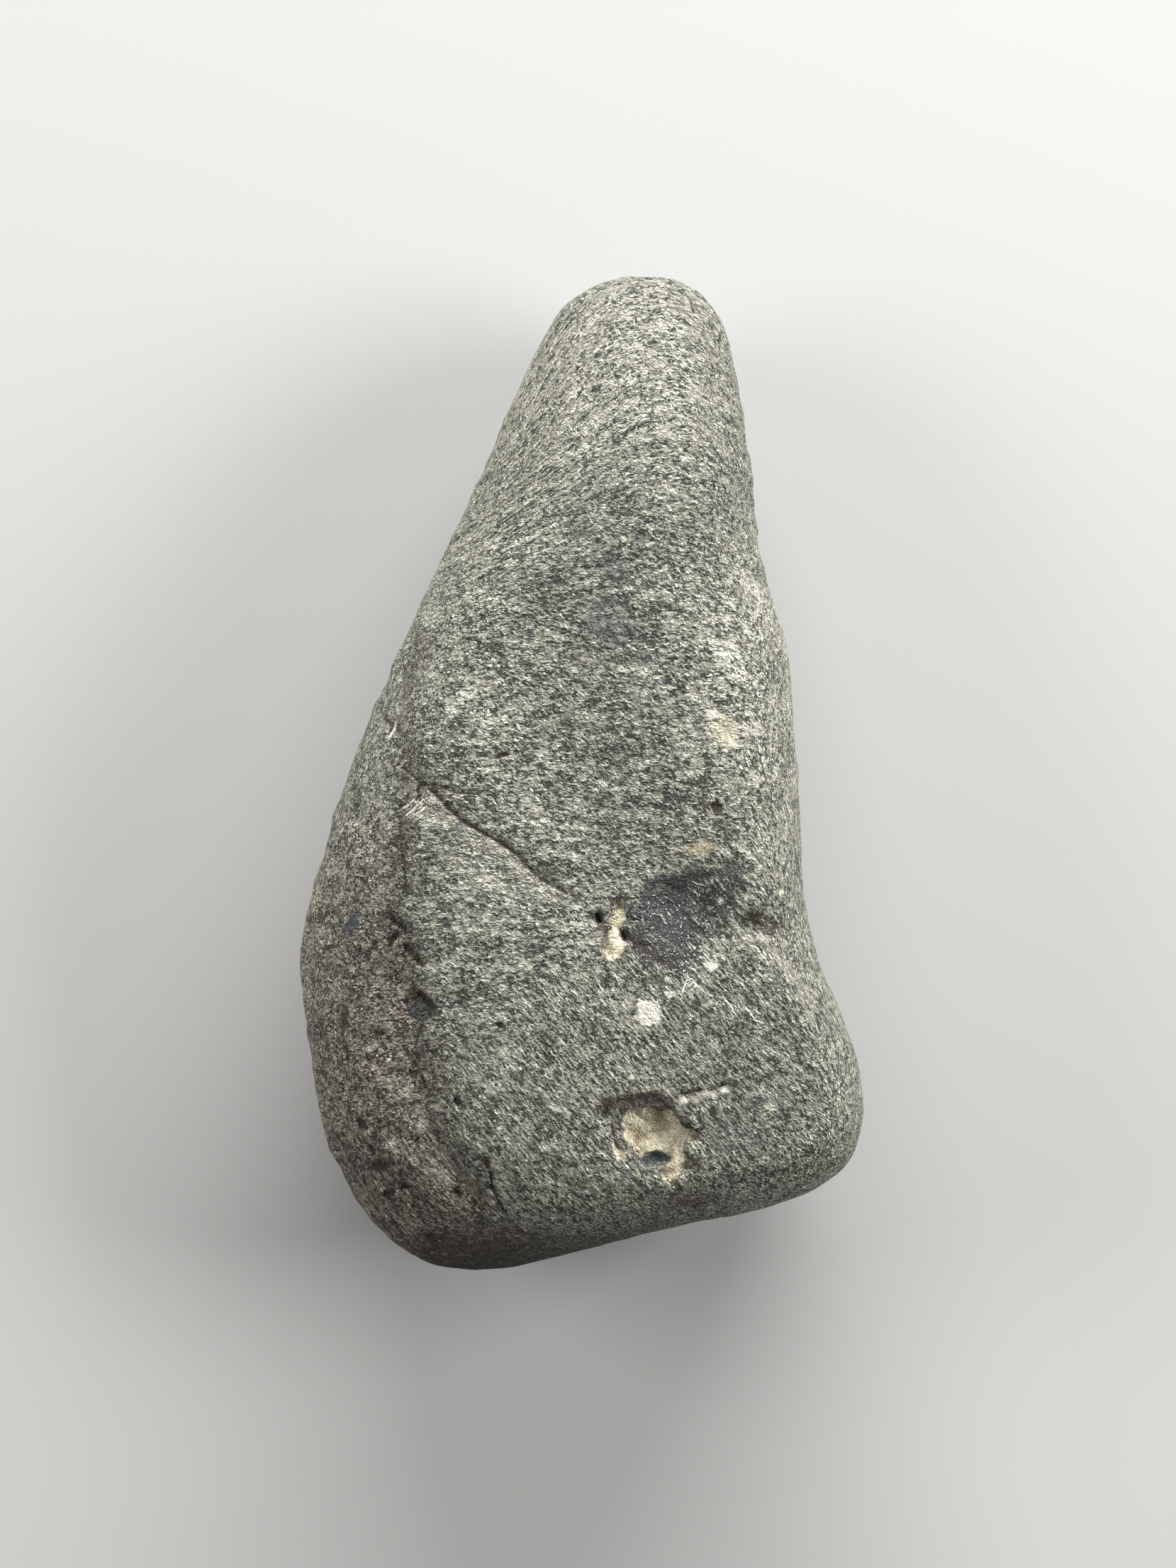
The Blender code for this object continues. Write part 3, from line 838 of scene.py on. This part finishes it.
def ripples(points):
    """Noise that is long across and short along, in arcs round the tip and none below it."""
    x, y, z = points.T / MM
    arched = y + ARCH * eased(*ARCHED, y) * (x - TIP_MIDDLE) ** 2
    squeezed = np.column_stack([x / RIPPLE_LENGTH, arched / RIPPLE_SPACING, z / RIPPLE_LENGTH])
    return RIPPLE_HEIGHT * MM * eased(*RIPPLED, y) * lattice_noise(squeezed, 1, SEEDS["ripples"])


def pocks_depth(points, seed):
    """Depth of small round holes round randomly chosen points, by distance from them."""
    random = np.random.default_rng(seed)
    depth = np.zeros(len(points))
    for middle in points[random.integers(0, len(points), POCKS)]:
        radius = random.uniform(*POCK_RADIUS) * random.uniform(*POCK_SHRINKING)
        off = points - middle
        near = np.clip(1 - (off * off).sum(1) / radius**2, 0, 1)
        depth = np.maximum(depth, POCK_DEPTH * radius * near)
    return depth


normals = np.zeros(len(mesh.vertices) * 3, np.float32)
mesh.vertices.foreach_get("normal", normals)
normals = normals.reshape(-1, 3)
knobbly = down_the_belly(eased(*KNOBBLY, fields["ridge"] / MM) * fields["ridge taper"], 0)
lift = unevenness(base_points, LUMPS, SEEDS["lumps"])
lift += knobbly * unevenness(base_points, KNOBS, SEEDS["knobs"])
lift += ripples(base_points) - pocks_depth(base_points, SEEDS["pocks"])
points = base_points + normals * (lift * eased(*SPARED, base_points[:, 2]))[:, None]
points[:, 2] = np.clip(points[:, 2], 0, THICKNESS)
mesh.vertices.foreach_set("co", points.astype(np.float32).ravel())
mesh.update()
mesh.shade_smooth()
print("lift from", round(lift.min() / MM, 3), "to", round(lift.max() / MM, 3), "mm")

# %% [markdown]
# The fields go on the mesh as attributes, lengths in millimetres, so that the finish can
# read them. Only the upper sheet has marks, but values that ended at the rim would draw a
# seam round the stone. So they ease, down the belly, to some that change nothing: a length
# far outside, no stain, and painted light and shade of 1.

# %% The fields as attributes
FAR_OUTSIDE = -9.0
AREAS = {
    "cream": ["large pit", "large pit's shard", "middle pit"],
    "pale_pit": ["upper pit"],
    "white_spots": ["white spot", "small white spot", "pale spot"],
    "blue_hole": ["large pit's hole"],
    "brown_and_painted_shade_holes": ["middle pit's left hole", "middle pit's right hole"],
    "scar": ["old scar"],
}


def add_attribute(name, upper_values, below=None):
    """A number for every vertex, by name."""
    values = down_the_belly(upper_values, below).astype(np.float32)
    mesh.attributes.new(name, "FLOAT", "POINT").data.foreach_set("value", values)


for name, members in AREAS.items():
    add_attribute(name, np.max([fields[member] for member in members], axis=0) / MM, FAR_OUTSIDE)
for name in ("slit side", "scratch side", "slit half", "scratch half"):
    add_attribute(name.replace(" ", "_"), fields[name] / MM)
add_attribute("ridge", fields["ridge"] / MM, -FAR_OUTSIDE)
for name in STAINS_AND_PAINTED_LIGHT_PX:
    add_attribute(name, fields[name], 0)
# painted light and shade, easing to 1 down the belly
add_attribute("painted_light_and_shade", fields["painted_light_and_shade"], 1)
print("attributes:", [attribute.name for attribute in mesh.attributes if attribute.data_type == "FLOAT"])

# %% [markdown]
# A finish is a tree of nodes, which soon grows hard to read. One small class keeps it
# close to plain sums: it wraps a socket, and adding or multiplying two of them adds the
# Math node that does it. Every other kind of node comes from its one method, node.

# %% Shader sums
NOISE_STEP = 7.3  # how far along X each seed moves a noise
ROD_STEP = 3.7  # and the rods, in cells
DIMMEST_ROD = 0.4
GLEAM_POWER = 5


class Value:
    """One socket of a shader, with the arithmetic that Math nodes do."""

    def __init__(self, tree, socket=None):
        self.tree = tree
        self.socket = socket

    def node(self, kind, settings=None, inputs=None, output=0):
        """Adds a node: its settings first, then its sockets' values or links."""
        made = self.tree.nodes.new("ShaderNode" + kind)
        for name, setting in (settings or {}).items():
            setattr(made, name, setting)
        for name, value in (inputs or {}).items():
            if isinstance(value, Value):
                self.tree.links.new(value.socket, made.inputs[name])
            else:
                made.inputs[name].default_value = value
        return Value(self.tree, made.outputs[output])

    def math(self, operation, *values):
        """What an operation makes of some values."""
        return self.node("Math", {"operation": operation}, dict(enumerate(values)))

    def __add__(self, other):
        return self.math("ADD", self, other)

    def __sub__(self, other):
        return self.math("SUBTRACT", self, other)

    def __rsub__(self, other):
        return self.math("SUBTRACT", other, self)

    def __mul__(self, other):
        return self.math("MULTIPLY", self, other)

    def __pow__(self, other):
        return self.math("POWER", self, other)

    __radd__ = __add__
    __rmul__ = __mul__

    def size(self):
        """The value without its sign."""
        return self.math("ABSOLUTE", self)

    def greater(self, other):
        """The greater of the two values."""
        return self.math("MAXIMUM", self, other)

    def rise(self, low, high, start=0.0, end=1.0):
        """start below low, end above high, eased between them."""
        inputs = {"Value": self, "From Min": low, "From Max": high, "To Min": start, "To Max": end}
        return self.node("MapRange", {"interpolation_type": "SMOOTHSTEP"}, inputs)

    def colour_to(self, other, share):
        """This colour, mixed towards another by a share."""
        settings = {"data_type": "RGBA", "blend_type": "MIX"}
        return self.node("Mix", settings, {0: share, 6: self, 7: other}, 2)

    def scaled(self, times):
        """This place or colour, times a number."""
        return self.node("VectorMath", {"operation": "SCALE"}, {0: self, "Scale": times})

    def pushed(self, by, far=1.0):
        """This place, moved by a vector, far times as far."""
        return self.node("VectorMath", {"operation": "MULTIPLY_ADD"}, {0: by, 1: (far,) * 3, 2: self})

    def laid(self, turn, length, width):
        """This place with a length along the turn's direction and a width across it as 1."""
        inputs = {"Vector": self, "Rotation": (0, 0, math.radians(turn)), "Scale": (length, width, width)}
        return self.node("Mapping", {"vector_type": "TEXTURE"}, inputs)

    def noise(self, size, seed, detail=2.0, roughness=0.5, output=0):
        """Noise over a place in millimetres, from 0 to 1, that changes over about size."""
        moved = self.pushed((NOISE_STEP * seed, 0, 0))
        inputs = {"Vector": moved, "Scale": 1 / size, "Detail": detail, "Roughness": roughness}
        return self.node("TexNoise", {}, inputs, output)

    def astray(self, far, *noise):
        """From -far to far, by a noise over this place."""
        return self.noise(*noise).rise(0.3, 0.7, -far, far)

    def rods(self, turn, length, width, seed):
        """(body, gleam) of short rods that lie along a direction.

        The place is cut into long cells. Each has a random tone, which fades from the
        cell's middle to its edge, and a high power of the tone leaves a few that gleam.
        """
        cells = self.laid(turn, length, width).pushed((ROD_STEP * seed, 0, 0))
        far = cells.node("TexVoronoi", {}, {"Scale": 1.0, "Vector": cells})
        tone = Value(self.tree, far.socket.node.outputs["Color"])
        body = (tone * (1 - DIMMEST_ROD) + DIMMEST_ROD) * far.rise(0.8, 0.12)
        return body, tone**GLEAM_POWER * far.rise(0.55, 0.1)


# %% [markdown]
# Seen close, the skin is a felt of tiny rods, a few tenths of a millimetre long, each with
# a grey of its own and a few of them nearly white. They lie crosswise in the middle, in
# arcs round the tip, and slanting down to the right below. Plain noise gives only soft
# blots. Cells of a Voronoi texture, drawn out along one direction and shaken by a fine
# noise, give rods with crisp ends. Under them lie knobs and a mottle drawn out the same
# way, whose middle values make thin dark creases, and over them a fine dust. Their sum
# drives both the colour and the relief, so the creases are darker in the colour as well:
# painted shade, beside the shade that the relief casts. Then come the marks, each from its
# field, with its edge frayed by the grain.

# %% The finish
GROUND = (0.162, 0.161, 0.127, 1)
GROUND_DARK = (0.016, 0.016, 0.012, 1)
GROUND_LIGHT = (0.37, 0.368, 0.296, 1)
GLEAM = (0.80, 0.79, 0.67, 1)
# painted reflection: a warm brown for the left of the ridge, as if warm light bounced onto that side
BEVEL_PAINTED_REFLECTION = (0.205, 0.155, 0.115, 1)
SCAR_GREY = (0.018, 0.020, 0.020, 1)
PIT_GREY = (0.31, 0.295, 0.21, 1)
CREAM = (0.76, 0.70, 0.51, 1)
CREAM_SHADE = (0.36, 0.28, 0.17, 1)
WHITE = (0.57, 0.56, 0.46, 1)
SLIT_BROWN = (0.032, 0.022, 0.016, 1)
HOLE_BLUE = (0.070, 0.080, 0.083, 1)
AREA_COLOURS = {"pale_pit": PIT_GREY, "blue_hole": HOLE_BLUE, "brown_and_painted_shade_holes": SLIT_BROWN}
# the colours of the stains, and of the painted shade, shadow and light among them
STAIN_AND_PAINTED_LIGHT_COLOURS = {
    "brown_and_painted_shade": (0.048, 0.036, 0.026, 1),
    "blue": (0.046, 0.052, 0.053, 1),
    "pale": (0.40, 0.39, 0.32, 1),
    "straw_and_painted_shade": (0.36, 0.31, 0.19, 1),
    "painted_shadow": (0.014, 0.013, 0.012, 1),
    "white": WHITE,
}
MARK_LOOKS = {  # colour, how far its edge is frayed, where it starts and is full, strength
    "slit": (SLIT_BROWN, 0.8, -0.06, 0.05, 0.95),
    "scratch": (GLEAM, 0.15, -0.04, 0.03, 0.75),
}
LEVEL_RODS = (-2, 0.42, 0.15, 1)  # direction in degrees, length and width in mm, seed
CROSSING_RODS = (-38, 0.38, 0.14, 2)
SLANT = -50
SLANTED_RODS = (SLANT, 0.80, 0.15, 3)
KNOB_RODS = (0, 0.70, 0.46, 4)
LEVEL_MOTTLE = (0, 1.7, 0.55)  # direction in degrees, length and width in mm
SLANTED_MOTTLE = (SLANT, 1.5, 0.50)
LEVEL_NOISE = (1, 5, 3, 0.55)  # size in lengths of the mottle, seed, detail and roughness
SLANTED_NOISE = (1, 11, 3, 0.55)
WOBBLE = (0.22, 21, 3)  # the same, with the size in mm, as in all below
GRAIN = (0.42, 6, 4, 0.72)
DUST = (0.13, 31, 2, 0.6)
PATCHES = (2.4, 9, 3, 0.6)
CREAM_BLOTS = (0.7, 10, 4, 0.65)
LOW_EDGE = (3, 4)
TIP_EDGE = (3, 12)
BEVEL_EDGE = (1.6, 8)
SCAR_EDGE = (0.8, 12, 3)
BUMP = 0.36 * MM
SPECULAR = 0.35


def worn_stone_finish():
    """The stone's material, worked out from places in mm and from the mesh's attributes."""
    material = bpy.data.materials.new("worn_stone")
    material.use_nodes = True
    tree = material.node_tree
    shader = tree.nodes["Principled BSDF"]
    start = Value(tree)

    def attribute(name):
        """A field of the mesh, by name."""
        return start.node("Attribute", {"attribute_name": name}, output=2)

    def colour_of(rgb):
        """A plain colour as a value."""
        made = start.node("RGB")
        made.socket.default_value = rgb
        return made

    here = start.node("TexCoord", output=3).scaled(1 / MM)
    split = here.node("SeparateXYZ", {}, {0: here})
    x, y = (Value(tree, socket) for socket in split.socket.node.outputs[:2])
    off_middle = x - TIP_MIDDLE
    bend = y.rise(*ARCHED, 0, ARCH) * off_middle * off_middle
    arch = here.node("CombineXYZ", {}, {1: bend})
    lower = (x * 0.9 - y + here.astray(3, *LOW_EDGE)).rise(7, 14)
    at_tip = (y + here.astray(3, *TIP_EDGE)).rise(9, 17)
    bevel = (attribute("ridge") + here.astray(1, *BEVEL_EDGE)).rise(1, -2.4) * y.rise(1, -14)

    wobble = here.noise(*WOBBLE, output=1)
    shaken = here.pushed(wobble, 0.30)
    bent = shaken.pushed(arch)
    level, level_gleam = bent.rods(*LEVEL_RODS)
    crossing, crossing_gleam = bent.rods(*CROSSING_RODS)
    slanted, slanted_gleam = shaken.rods(*SLANTED_RODS)
    knobs, _ = here.pushed(wobble, 0.60).pushed(arch).rods(*KNOB_RODS)
    crossing = crossing * at_tip.rise(0, 1, 0.8, 0.1) * lower.rise(0, 1, 1, 0.5)
    felt = (level * lower.rise(0, 1, 1, 0.2)).greater(crossing).greater(slanted * lower.rise(0, 1, 0.5, 1))
    gleam = (level_gleam * (1 - lower)).greater(crossing_gleam).greater(slanted_gleam)
    grain = here.noise(*GRAIN)
    dust = here.noise(*DUST)
    mottle = bent.laid(*LEVEL_MOTTLE).noise(*LEVEL_NOISE)
    mottle = mottle + (shaken.laid(*SLANTED_MOTTLE).noise(*SLANTED_NOISE) - mottle) * lower
    crease = (mottle - 0.5).size().rise(0.045, 0) * grain.rise(0.42, 0.58) * at_tip.rise(0, 1, 1, 2.4)
    coarse = knobs * 0.5 + mottle + here.noise(*PATCHES) * 0.8 - 1.12
    coarse = coarse * at_tip.rise(0, 1, 1, 0.35) * lower.rise(0, 1, 1, 0.5)
    # the creases darken the tone as well as the relief: painted shade in the creases
    tone = felt * at_tip.rise(0, 1, 0.9, 0.7) + coarse - crease * 0.5 + dust - 0.40
    tone = tone + at_tip.rise(0, 1, 0, 0.14)
    relief = knobs * (lower.rise(0, 1, 1.2, 0.4) + bevel * 0.5) + mottle * lower.rise(0, 1, 1.1, 0.6)
    relief = relief + felt * 0.4 + dust * 0.5 - crease * 0.5
    height = relief * at_tip.rise(0, 1, 1, 2.0) + gleam * 0.4

    scar = (attribute("scar") + here.astray(0.4, *SCAR_EDGE)).rise(-0.2, 0.5)
    edge = grain.rise(0.25, 0.75, -0.16, 0.16)
    # left of the ridge the ground takes the warm brown: painted reflection
    ground = colour_of(GROUND).colour_to(BEVEL_PAINTED_REFLECTION, bevel * 0.7).colour_to(SCAR_GREY, scar)
    colour = colour_of(GROUND_DARK).colour_to(ground, tone.rise(-0.02, 0.44))
    colour = colour.colour_to(GROUND_LIGHT, tone.rise(0.44, 1.0) * scar.rise(0, 1, 1, 0.2))
    colour = colour.colour_to(GLEAM, gleam)

    cream = (attribute("cream") + edge).rise(-0.04, 0.10)
    cream_tone = here.noise(*CREAM_BLOTS).rise(0.44, 0.62) * 0.8
    colour = colour.colour_to(colour_of(CREAM).colour_to(CREAM_SHADE, cream_tone), cream)
    height = height + cream * grain * 3.0 + attribute("white") * 1.2
    for name, area_colour in AREA_COLOURS.items():
        share = (attribute(name) + edge * 0.8).rise(-0.04, 0.12)
        colour = colour.colour_to(area_colour, share * 0.9)
    for name, stain_and_painted_light_colour in STAIN_AND_PAINTED_LIGHT_COLOURS.items():
        share = attribute(name) * grain.rise(0.36, 0.64, 0.4, 1.4)
        colour = colour.colour_to(stain_and_painted_light_colour, share)
    specks = dust.rise(0.61, 0.70) * scar * (1 - attribute("painted_shadow"))
    colour = colour.colour_to(GLEAM, specks * 0.7)
    white = (attribute("white_spots") + edge).rise(-0.10, 0.20)
    colour = colour.colour_to(WHITE, white * 0.95)
    for name, (mark_colour, frayed, low, high, strength) in MARK_LOOKS.items():
        inwards = attribute(name + "_half") - attribute(name + "_side").size() + edge * frayed
        colour = colour.colour_to(mark_colour, inwards.rise(low, high) * strength)
    # painted light and shade: the colour made lighter or darker region by region
    colour = colour.scaled(attribute("painted_light_and_shade"))

    bump = start.node("Bump", {}, {"Strength": 1.0, "Distance": BUMP, "Height": height})
    tree.links.new(colour.socket, shader.inputs["Base Color"])
    tree.links.new(bump.socket, shader.inputs["Normal"])
    tree.links.new(tone.rise(0, 1, 0.85, 0.65).socket, shader.inputs["Roughness"])
    shader.inputs["Specular IOR Level"].default_value = SPECULAR
    return material


worn_stone = add_object("worn_stone", mesh)
mesh.materials.append(worn_stone_finish())
print("finish:", len(mesh.materials[0].node_tree.nodes), "nodes")

# %% [markdown]
# The stone lies on a plain pale floor. One large soft light stands low beyond the tip, a
# little to the right, so that the tip is brightest, the shade deepens towards the base
# and the left side, and the grain is raked enough to show. Two weak ones fill the sides,
# and a dim, even sky does the rest.

# %% Floor and light
FLOOR_SIZE = 4.0
FLOOR_COLOUR = (0.27, 0.267, 0.26, 1)
FLOOR_ROUGHNESS = 0.9
SKY_COLOUR = (1.0, 0.99, 0.97, 1)
SKY_STRENGTH = 0.14
LIGHTS = {  # direction anticlockwise from +X and elevation, distance, width, height, power
    "key": (82, 20, 0.45, 0.45, 0.12, 9.2),
    "right": (10, 28, 0.45, 0.25, 0.15, 3.7),
    "left": (165, 28, 0.45, 0.25, 0.15, 2.0),
}


def add_light(name, direction, elevation, distance, width, height, power):
    """A soft rectangular light, turned so that its -Z looks at the middle of the stone."""
    data = bpy.data.lights.new(name, "AREA")
    data.shape = "RECTANGLE"
    data.size, data.size_y = width, height
    data.energy = power
    light = add_object(name, data)
    bearing, tilt = math.radians(direction), math.radians(elevation)
    flat = distance * math.cos(tilt)
    light.location = (flat * math.cos(bearing), flat * math.sin(bearing), distance * math.sin(tilt))
    light.rotation_euler = (math.pi / 2 - tilt, 0, bearing + math.pi / 2)


half = FLOOR_SIZE / 2
corners = [(-half, -half, 0), (half, -half, 0), (half, half, 0), (-half, half, 0)]
floor_mesh = bpy.data.meshes.new("floor")
floor_mesh.from_pydata(corners, [], [(0, 1, 2, 3)])
floor = add_object("floor", floor_mesh)
floor_finish = bpy.data.materials.new("pale_floor")
floor_finish.use_nodes = True
floor_shader = floor_finish.node_tree.nodes["Principled BSDF"]
floor_shader.inputs["Base Color"].default_value = FLOOR_COLOUR
floor_shader.inputs["Roughness"].default_value = FLOOR_ROUGHNESS
floor_mesh.materials.append(floor_finish)

world = bpy.data.worlds.new("sky")
world.use_nodes = True
background = world.node_tree.nodes["Background"].inputs
background["Color"].default_value = SKY_COLOUR
background["Strength"].default_value = SKY_STRENGTH
bpy.context.scene.world = world

for name, placing in LIGHTS.items():
    add_light(name, *placing)
bpy.context.scene.view_settings.view_transform = "Standard"
print("lights:", ", ".join(LIGHTS))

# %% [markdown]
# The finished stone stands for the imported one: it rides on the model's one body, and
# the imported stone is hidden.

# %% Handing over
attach(worn_stone, "root")
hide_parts("stone")
